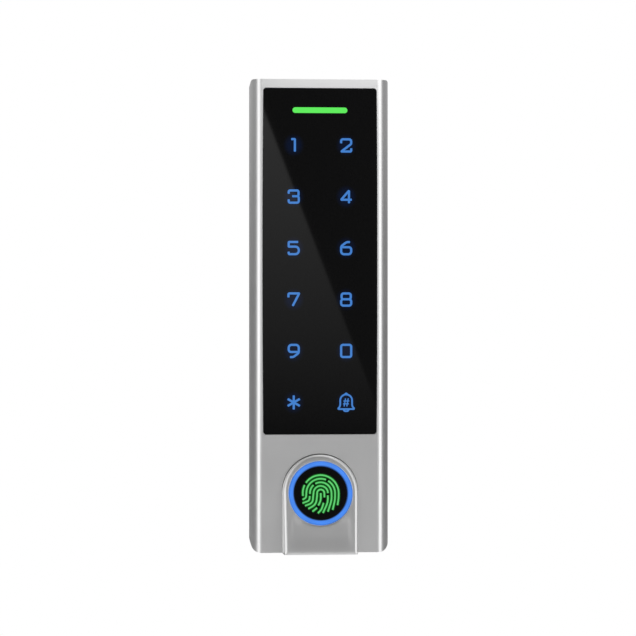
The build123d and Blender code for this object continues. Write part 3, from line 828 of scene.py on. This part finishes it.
# %% Numerals, star and bell
LEFT, RIGHT, FOOT, HEAD = -1.97, 1.97, -2.38, 2.38
STAR_ARM = 2.6
six = [[(1.35, HEAD, 0), (0.15, HEAD, 1.7), (LEFT, 0.75, 1.2), (LEFT, FOOT, 1.15), (RIGHT, FOOT, 1.15),
        (RIGHT, 0.38, 0.95), (LEFT, 0.38, 0)]]
marks = {
    "1": [[(-0.85, HEAD - 0.05, 0), (0.45, HEAD, 0.25), (0.45, FOOT, 0)]],
    "2": [[(LEFT, 0.95, 0), (LEFT, HEAD, 0.85), (RIGHT, HEAD, 0.85), (RIGHT, 0.55, 0.9),
           (LEFT + 0.1, FOOT, 0.05), (RIGHT, FOOT, 0.45), (RIGHT, -1.25, 0)]],
    "3": [[(LEFT, 1.25, 0), (LEFT, HEAD, 0.55), (RIGHT - 0.1, HEAD, 0.6), (RIGHT - 0.1, 0.15, 0.6),
           (-0.5, 0.15, 0)],
          [(-0.5, 0.15, 0), (RIGHT, 0.15, 0.7), (RIGHT, FOOT, 0.75), (LEFT, FOOT, 0.75), (LEFT, -1.2, 0)]],
    "4": [[(1.1, HEAD, 0), (LEFT, -1.15, 0.1), (RIGHT + 0.1, -1.15, 0)], [(1.1, HEAD, 0), (1.1, FOOT, 0)]],
    "5": [[(1.6, HEAD, 0), (LEFT, HEAD, 0.3), (LEFT, 0.55, 0.15), (RIGHT, 0.55, 1.35), (RIGHT, FOOT, 1.35),
           (LEFT, FOOT, 0.55), (LEFT, -1.55, 0)]],
    "6": six,
    "7": [[(LEFT - 0.1, 0.95, 0), (LEFT - 0.1, HEAD, 0.4), (RIGHT + 0.15, HEAD, 0.1), (-0.35, FOOT, 0)]],
    "8": [[(-1.80, HEAD, 0.8), (1.80, HEAD, 0.8), (1.80, 0.12, 0.8), (-1.80, 0.12, 0.8),
           (-1.80, HEAD, 0.8)],
          [(LEFT, 0.12, 0.9), (RIGHT, 0.12, 0.9), (RIGHT, FOOT, 0.9), (LEFT, FOOT, 0.9),
           (LEFT, 0.12, 0.9)]],
    "9": [[(-x, -y, radius) for x, y, radius in six[0]]],
    "0": [[(LEFT, HEAD, 0.75), (RIGHT, HEAD, 0.75), (RIGHT, FOOT, 0.75), (LEFT, FOOT, 0.75),
           (LEFT, HEAD, 0.75)]],
    "star": [[(-STAR_ARM * math.sin(a), -STAR_ARM * math.cos(a), 0),
              (STAR_ARM * math.sin(a), STAR_ARM * math.cos(a), 0)]
             for a in (0, math.pi / 3, -math.pi / 3)],
}
bell_outline = [
    [(-3.35, -2.65, 0.2), (-2.32, -1.55, 1.9), (-2.32, 3.05, 2.28), (2.32, 3.05, 2.28), (2.32, -1.55, 1.9),
     (3.35, -2.65, 0.2), (-3.35, -2.65, 0.2)],
    [(-0.55, 3.05, 0), (0, 3.6, 0.35), (0.55, 3.05, 0)],
    [(-1.1, -2.75, 0), (-0.6, -3.45, 0.5), (0.6, -3.45, 0.5), (1.1, -2.75, 0)],
]
hash_sign = [
    [(-0.80, -1.55, 0), (-0.25, 1.45, 0)], [(0.25, -1.55, 0), (0.80, 1.45, 0)],
    [(-1.15, -0.60, 0), (1.00, -0.60, 0)], [(-1.00, 0.50, 0), (1.15, 0.50, 0)],
]
print(len(marks) + 1, "marks drawn")

# %% [markdown]
# ## Marks laid on the glass
# Each mark is drawn about its own middle, then laid on the glass at its place in the grid. The
# bell's outline and the sign inside it are finer than the numerals, as small signs have to be. The
# twelve pieces together stand for one CAD part, the films behind the glass.

# %% Key marks on the glass
STROKE = 0.86
FINE_STROKE = 0.66
HASH_STROKE = 0.46
MARK_RISE = 0.03


def draw(mesh, strokes, width, lay):
    for corners in strokes:
        closed = corners[0] == corners[-1]
        line = bent_line(corners[:-1] if closed else corners, closed)
        ribbon(mesh, line, width, MARK_RISE, lay, closed)


for row, pair in enumerate(KEY_ROWS):
    for column, mark in enumerate(pair):
        key = Vector((first_x + column * column_step, glass_low.y, first_z - row * row_step))
        lay = on_face(key, Vector((0, -1, 0)))
        mesh = bmesh.new()
        if mark == "bell":
            draw(mesh, bell_outline, FINE_STROKE, lay)
            draw(mesh, hash_sign, HASH_STROKE, lay)
        else:
            draw(mesh, marks[mark], STROKE, lay)
        new_piece("key_mark_" + mark, mesh, "blue_light", ["key_legends"])
print("strokes are", STROKE, "mm wide, and stand", MARK_RISE, "mm off the glass")

# %% [markdown]
# ## The status light
# A bar with rounded ends lights green above the keys. It is drawn like a mark, as a capsule whose
# edge is rolled over very slightly.

# %% Status light bar
def capsule(half_length, radius, inset, rise, lay, steps=14):
    """A ring with two straight sides and two round ends."""
    points = []
    for side in (1, -1):
        for step in range(steps + 1):
            angle = -math.pi / 2 + math.pi * step / steps
            x = side * (half_length - radius + (radius - inset) * math.cos(angle))
            y = side * (radius - inset) * math.sin(angle)
            points.append(lay @ Vector((x, y, rise)))
    return points


bar_low, bar_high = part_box("status_light_bar")
bar_lay = on_face(Vector((0, glass_low.y, (bar_low.z + bar_high.z) / 2)), Vector((0, -1, 0)))
bar_radius = (bar_high.z - bar_low.z) / 2
bar_edge = quarter(MARK_RISE * MM, 2)
bar_rings = [capsule(bar_high.x, bar_radius, inset, rise, bar_lay) for inset, rise in bar_edge]
bar_finish = glow("status light", (0.125, 0.88, 0.115, 1), (0.110, 0.82, 0.105, 1), 0.02)
skinned_piece("status_light", bar_rings, "green_light", ["status_light_bar"], finish=bar_finish)
print("the bar is", round(2 * bar_high.x / MM, 1), "mm long")

# %% [markdown]
# ## The sensor's own frame
# The fingerprint sensor and the face around it lean back, so that a finger laid on them from below
# lies flat. Everything on that face is drawn flat and laid on it by one matrix, whose origin and
# lean are read from the CAD cap.

# %% Sensor frame
cap = frame["nodes"]["sensor_lens"].data
front_faces = [face for face in cap.polygons if face.normal.y < -0.9]
lean = sum((face.normal * face.area for face in front_faces), Vector())
front_points = [cap.vertices[index].co for face in front_faces for index in face.vertices]
cap_low = Vector([min(point[axis] for point in front_points) for axis in range(3)])
cap_high = Vector([max(point[axis] for point in front_points) for axis in range(3)])
sensor = on_face((cap_low + cap_high) / 2, lean)
CAP_RADIUS = (cap_high.x - cap_low.x) / 2


def circle(radius, rise, lay, count=96):
    """A round ring on a face, at a height above it."""
    angles = [2 * math.pi * step / count for step in range(count)]
    return [lay @ Vector((radius * math.cos(a), radius * math.sin(a), rise)) for a in angles]


print("the sensor leans", round(math.degrees(math.asin(lean.normalized().z)), 1), "degrees")

# %% [markdown]
# ## The glowing ring
# A translucent moulding carries light from eight diodes round the sensor. It stands just proud of
# the face and its edges are rounded. The light is even along its middle, falls off at the outer
# edge and more so next to the sensor, and each diode lifts it slightly. The mask for that is the
# distance from the sensor's middle, measured up the leaning face.

# %% Ring light
RING_OUTER = 12.35 * MM
RING_INNER = 10.5 * MM
RING_RISE = 0.10 * MM
RING_DEPTH = 2.0 * MM
RING_EDGE = 0.30 * MM
DIODES = 8


def ring_glow():
    light = Finish("ring light", {"Specular IOR Level": 0.3, "Emission Strength": 1.0})
    x, y, z = light.axes(light.place())
    centre = sensor.translation
    tilt = lean.normalized()
    up_face = (z - centre.z) * -tilt.y + (y - centre.y) * tilt.z
    radius = light.maths("SQRT", x * x + up_face * up_face)
    even = light.smooth(RING_INNER - 0.15 * MM, RING_INNER + 0.55 * MM, radius)
    edge = light.smooth(RING_OUTER - 0.45 * MM, RING_OUTER, radius)
    spots = light.maths("COSINE", light.maths("ARCTAN2", x, up_face) * DIODES) * 0.5 + 0.5
    grain = light.noise(0.4 * MM, 2.0)
    bright = even * (1 - 0.25 * edge) * (0.84 + 0.10 * spots + 0.06 * grain)
    light.wear("Base Color", light.mix(grain, (0.01, 0.03, 0.09, 1), (0.02, 0.05, 0.13, 1)))
    light.wear("Emission Color", light.mix(bright, (0.004, 0.020, 0.10, 1), (0.062, 0.250, 0.88, 1)))
    light.wear("Roughness", 0.30 + 0.10 * grain)
    return light.material


outer_edge = []
inner_edge = []
for inset, rise in quarter(RING_EDGE):
    lip = RING_RISE - RING_EDGE + rise
    outer_edge.append(circle(RING_OUTER - inset, lip, sensor))
    inner_edge.append(circle(RING_INNER + inset, lip, sensor))
ring_foot = [circle(RING_INNER, -RING_DEPTH, sensor), circle(RING_OUTER, -RING_DEPTH, sensor)]
ring_rings = outer_edge + inner_edge[::-1] + ring_foot
skinned_piece("sensor_ring", ring_rings, "blue_light", ["sensor_ring_light"], True, finish=ring_glow())

# %% [markdown]
# ## The sensor's cap
# The cap is a hard polished disc, very slightly crowned, with a rolled edge. Rings of falling radius
# that rise along a shallow curve give the crown.

# %% Sensor cap
CAP_CROWN = 0.10 * MM
CAP_EDGE = 0.22 * MM
CAP_DEPTH = 1.2 * MM
CAP_GAP = 0.02 * MM
CAP_STEPS = 12


def crown(radius):
    """Height of the cap above the face at a radius."""
    return CAP_CROWN * (1 - (radius / CAP_RADIUS) ** 2)


cap_rings = [circle(CAP_RADIUS - CAP_GAP, -CAP_DEPTH, sensor)]
for inset, rise in quarter(CAP_EDGE):
    radius = CAP_RADIUS - CAP_GAP - inset
    cap_rings.append(circle(radius, rise - CAP_EDGE + crown(radius), sensor))
for step in range(1, CAP_STEPS):
    radius = (CAP_RADIUS - CAP_EDGE) * (1 - step / CAP_STEPS)
    cap_rings.append(circle(radius, crown(radius), sensor))
skinned_piece("sensor_cap", cap_rings, "lens_black", ["sensor_lens"], smooth_below=50)

# %% [markdown]
# ## The finger symbol
# Under the cap a film shows where the finger goes: nested arches with breaks in them, and legs that
# sweep down and to the left. Each ridge is an arch on a shared centre, with a short run of corners
# before and after it. Wider, much dimmer strokes under the ridges are the light that leaks between
# them. It is a plain symbol of a finger's ridges, not anyone's print.

# %% Finger symbol
RIDGE_STEP = 1.40
RIDGE_STROKE = 0.60
BLEED_STROKE = 1.30
ICON_RISE = 0.030
BLEED_RISE = 0.015


def ridge(order, start, end, before=(), after=()):
    """An arch of the nest, from one angle to another, with bent runs before and after it."""
    radius = RIDGE_STEP * order
    steps = max(3, round(abs(end - start) / 9))
    angles = [math.radians(start + (end - start) * step / steps) for step in range(steps + 1)]
    arch = [Vector((radius * math.cos(a), radius * math.sin(a))) for a in angles]
    lead = bent_line(list(before) + [(arch[0].x, arch[0].y, 0)])[:-1] if before else []
    tail = bent_line([(arch[-1].x, arch[-1].y, 0)] + list(after))[1:] if after else []
    return lead + arch + tail


ridges = [
    ridge(5, 144, 0, after=[(6.95, -2.0, 9), (6.5, -4.6, 0)]),
    ridge(5, 188, 154),
    ridge(4, 180, 69, before=[(-7.0, -2.45, 0), (-5.75, -1.75, 0.9)]),
    ridge(4, 57, 0, after=[(5.55, -2.6, 11), (4.6, -6.4, 0)]),
    ridge(3, 180, 133, before=[(-4.3, -0.15, 0)]),
    ridge(3, 118, 0, after=[(4.25, -2.7, 11), (2.75, -7.1, 0)]),
    bent_line([(-4.3, -1.2, 0), (-4.45, -2.9, 1.4), (-7.0, -3.8, 0)]),
    ridge(2, 180, 2, before=[(-6.05, -4.85, 0), (-3.2, -3.8, 2.6), (-2.95, -1.2, 3)]),
    bent_line([(2.75, -1.0, 0), (2.75, -3.6, 10), (0.85, -7.6, 0)]),
    ridge(1, 180, 0, before=[(-4.8, -6.0, 0), (-1.9, -4.4, 3.8), (-1.45, -1.2, 4)],
          after=[(1.42, -1.55, 0)]),
    bent_line([(0.0, -0.1, 0), (0.0, -2.9, 5), (-0.95, -4.7, 0)]),
    bent_line([(-1.55, -5.75, 0), (-3.2, -7.05, 0)]),
    bent_line([(1.02, -3.9, 0), (0.3, -6.3, 7), (-1.1, -7.7, 0)]),
]
print(len(ridges), "ridges drawn")

# %% Symbol and its leaking light
def symbol(name, stroke, rise, finish):
    """The ridges at one width, laid on the crown of the cap."""
    mesh = bmesh.new()
    for line in ridges:
        ribbon(mesh, line, stroke, rise, sensor)
    for vertex in mesh.verts:
        flat = sensor.inverted() @ vertex.co
        flat.z += crown(math.hypot(flat.x, flat.y))
        vertex.co = sensor @ flat
    new_piece(name, mesh, "green_light", ["sensor_icon"], finish)


bleed = glow("green bleed", (0.003, 0.105, 0.008, 1), (0.002, 0.075, 0.005, 1), 0.04)
symbol("finger_symbol", RIDGE_STROKE, ICON_RISE, finishes["green_light"])
symbol("finger_symbol_bleed", BLEED_STROKE, BLEED_RISE, bleed)

# %% [markdown]
# ## The finger guide
# The guide is a separate casting: an arch over the sensor with two straight sides, drafted so that
# it leaves its mould, and a face that leans with the sensor. Its rim is rolled over, which draws a
# bright line all round. The face dips slightly below the ring to settle the finger. Every ring
# follows the same arch-shaped path, first up the wall, over the rim, across the face to the round
# hole, and down inside it, and then the last ring joins the first underneath.

# %% Finger guide
guide_low, guide_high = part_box("finger_guide")
GUIDE_RADIUS = guide_high.x
ARCH_Z = guide_high.z - GUIDE_RADIUS
DRAFT = math.tan(math.radians(5.2))
RIM_RUNS = ((79, 0.05), (67, 0.05), (55, 0.05), (43, 0.05), (32, 0.06), (24, 0.23), (20, 0.23),
            (16, 0.23), (12, 0.23), (6, 0.15))
HOLE_RADIUS = RING_OUTER + 0.10 * MM
HOLE_EDGE = 0.20 * MM
DIP = 0.11 * MM
ARCH_STEPS = 56
LEG_STEPS = 26
FOOT_STEPS = 30
lean_axis = lean.normalized()
rim = [(0.0, 0.0)]
for tilt, run in RIM_RUNS:
    inset, rise = rim[-1]
    tilt = math.radians(tilt)
    rim.append((inset + run * MM * math.cos(tilt), rise + run * MM * math.sin(tilt)))
RIM = rim[-1][1]


def face_y(z):
    """Where the leaning face is at a height."""
    centre = sensor.translation
    return centre.y - lean_axis.z / lean_axis.y * (z - centre.z)


def arch_path(foot):
    """The guide's outline from its lower right over the arch and back: a start and a way outwards."""
    points = [(0, foot + (ARCH_Z - foot) * step / LEG_STEPS, 1, 0) for step in range(LEG_STEPS)]
    for step in range(ARCH_STEPS + 1):
        angle = math.pi * step / ARCH_STEPS
        points.append((0, ARCH_Z, math.cos(angle), math.sin(angle)))
    points += [(0, ARCH_Z - (ARCH_Z - foot) * step / LEG_STEPS, -1, 0) for step in range(1, LEG_STEPS + 1)]
    points += [(0, foot, 2 * step / FOOT_STEPS - 1, 0) for step in range(1, FOOT_STEPS)]
    return points


def guide_ring(share, inset=0.0, rise=0.0):
    """A ring at a share of the wall's height, or on the rolled rim at an inset and a rise."""
    ring = []
    for x, z, way_x, way_z in arch_path(guide_low.z + inset):
        reach = GUIDE_RADIUS
        for _ in range(3):
            height = guide_high.y - face_y(z + way_z * reach) - RIM
            reach = GUIDE_RADIUS - height * share * DRAFT - inset
        ring.append((x + way_x * reach, guide_high.y - height * share - rise, z + way_z * reach))
    return ring


print("the guide stands", round((guide_high.y - guide_low.y) / MM, 1), "mm proud at its foot")

# %% [markdown]
# ## The guide's face
# Rings step from the rim to the round hole, each a blend of the two outlines, so the arch shape
# turns into a circle evenly. Their points are lowered by `dip`, a soft hollow below the ring that
# fades out before the lower end. The hole's edge is rolled, and its wall runs down to the body.

# %% Guide face
def dip(flat):
    """Depth of the finger dip at a point of the face, in the sensor's frame."""
    beside = 1 - smooth_step(10.2 * MM, 12.2 * MM, abs(flat.x))
    under = smooth_step(-8.0 * MM, -12.6 * MM, flat.y)
    run_out = smooth_step(-23.0 * MM, -16.5 * MM, flat.y)
    return DIP * beside * under * run_out


def smooth_step(start, end, value):
    share = min(1, max(0, (value - start) / (end - start)))
    return share * share * (3 - 2 * share)


rim_rings = [guide_ring(1, inset, rise) for inset, rise in rim]
rim_edge = [sensor.inverted() @ Vector(point) for point in rim_rings[-1]]
hole_angles = [math.atan2(flat.y, flat.x) for flat in rim_edge]


def hole_ring(radius, rise):
    return [sensor @ Vector((radius * math.cos(a), radius * math.sin(a), rise)) for a in hole_angles]


FACE_STEPS = 12
face_rings = []
for step in range(1, FACE_STEPS + 1):
    share = step / FACE_STEPS
    ring = []
    for flat, angle in zip(rim_edge, hole_angles):
        rim_of_hole = Vector((math.cos(angle), math.sin(angle), 0)) * (HOLE_RADIUS + HOLE_EDGE)
        point = flat.lerp(rim_of_hole, share)
        point.z -= dip(point)
        ring.append(sensor @ point)
    face_rings.append(ring)
print("the face has", len(face_rings), "rings of", len(rim_edge), "points")

# %% Guide hole and object
lip_rings = []
for inset, rise in quarter(HOLE_EDGE, 3)[::-1][1:]:
    ring = []
    for angle in hole_angles:
        flat = Vector((math.cos(angle), math.sin(angle), 0)) * (HOLE_RADIUS + inset)
        edge_of_hole = Vector((math.cos(angle), math.sin(angle), 0)) * (HOLE_RADIUS + HOLE_EDGE)
        flat.z = rise - HOLE_EDGE - dip(edge_of_hole)
        ring.append(sensor @ flat)
    lip_rings.append(ring)
base_ring = []
for point in hole_ring(HOLE_RADIUS, 0):
    drop = (guide_high.y - point.y) / -lean_axis.y
    base_ring.append(point - lean_axis * drop)
wall_rings = [guide_ring(step / 4) for step in range(4)]
guide_rings = wall_rings + rim_rings + face_rings + lip_rings + [base_ring]
skinned_piece("guide_casting", guide_rings, "silver_casting", ["finger_guide"], True)

# %% [markdown]
# ## The seal under the guide
# A rubber seal keeps rain out between the guide and the body. Over the arch its dark edge stands out past
# the guide as a lip. That lip is a painted shadow: it draws the thin shadow line there, and it fades out
# down the sides.

# %% Guide seal
SEAL_SHOWS = 0.05 * MM
# How far the seal's dark edge stands out past the guide over the arch: a painted shadow line there.
ARCH_SHADOW_LIP = 0.20 * MM
SEAL_WIDTH = 1.4 * MM
SEAL_EDGE = 0.12 * MM
seal_low, seal_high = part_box("guide_gasket")


def seal_ring(outset, depth):
    """The guide's outline moved outwards, and further out over the arch, where the seal's dark edge is a
    painted shadow line.
    """
    ring = []
    for x, z, way_x, way_z in arch_path(guide_low.z):
        reach = GUIDE_RADIUS + outset + ARCH_SHADOW_LIP * math.sqrt(way_z)
        ring.append((x + way_x * reach, depth, z + way_z * reach))
    return ring


seal_rings = []
for inset, rise in quarter(SEAL_EDGE, 3):
    seal_rings.append(seal_ring(SEAL_SHOWS - inset, seal_low.y + SEAL_EDGE - rise))
for outset, depth in ((-SEAL_WIDTH, seal_low.y), (-SEAL_WIDTH, seal_high.y), (SEAL_SHOWS, seal_high.y)):
    seal_rings.append(seal_ring(outset, depth))
skinned_piece("guide_seal", seal_rings, "rubber", ["guide_gasket"], True)

# %% [markdown]
# ## Floor
# A pale floor well below the reader gives the views from above somewhere to stand. It is a little
# lit by itself, so that it stays near white to its edges, but only to the eye: what the metal
# mirrors is a duller floor, or its sides would lose their grey. It is staging, not part of the
# reader.

# %% Floor
FLOOR_DROP = 0.40
FLOOR_HALF = 2.0
MIRRORED_FLOOR = 0.06
floor_finish = Finish("pale floor", {"Emission Strength": 1.0})
dull = floor_finish.noise(0.05, 4.0)
floor_x, floor_y, _ = floor_finish.axes(floor_finish.place())
from_middle = floor_finish.maths("SQRT", floor_x * floor_x + floor_y * floor_y)
outer = floor_finish.smooth(0.5, 1.9, from_middle)
floor_finish.wear("Base Color", floor_finish.mix(dull, grey(0.66), grey(0.70)))
seen = floor_finish.node("LightPath", out=0)
pale_to_edge = floor_finish.mix(outer, grey(0.26), grey(0.62))
floor_finish.wear("Emission Color", floor_finish.mix(seen, grey(MIRRORED_FLOOR), pale_to_edge))
floor_finish.wear("Roughness", 0.6 + 0.1 * dull)
floor_mesh = bmesh.new()
bmesh.ops.create_grid(floor_mesh, x_segments=8, y_segments=8, size=FLOOR_HALF)
bmesh.ops.translate(floor_mesh, verts=floor_mesh.verts, vec=(0, 0, low.z - FLOOR_DROP))
floor_data = bpy.data.meshes.new("floor")
floor_mesh.to_mesh(floor_data)
floor_mesh.free()
floor_data.materials.append(floor_finish.material)
floor = bpy.data.objects.new("floor", floor_data)
bpy.context.scene.collection.objects.link(floor)
print("floor at", round(low.z - FLOOR_DROP, 3))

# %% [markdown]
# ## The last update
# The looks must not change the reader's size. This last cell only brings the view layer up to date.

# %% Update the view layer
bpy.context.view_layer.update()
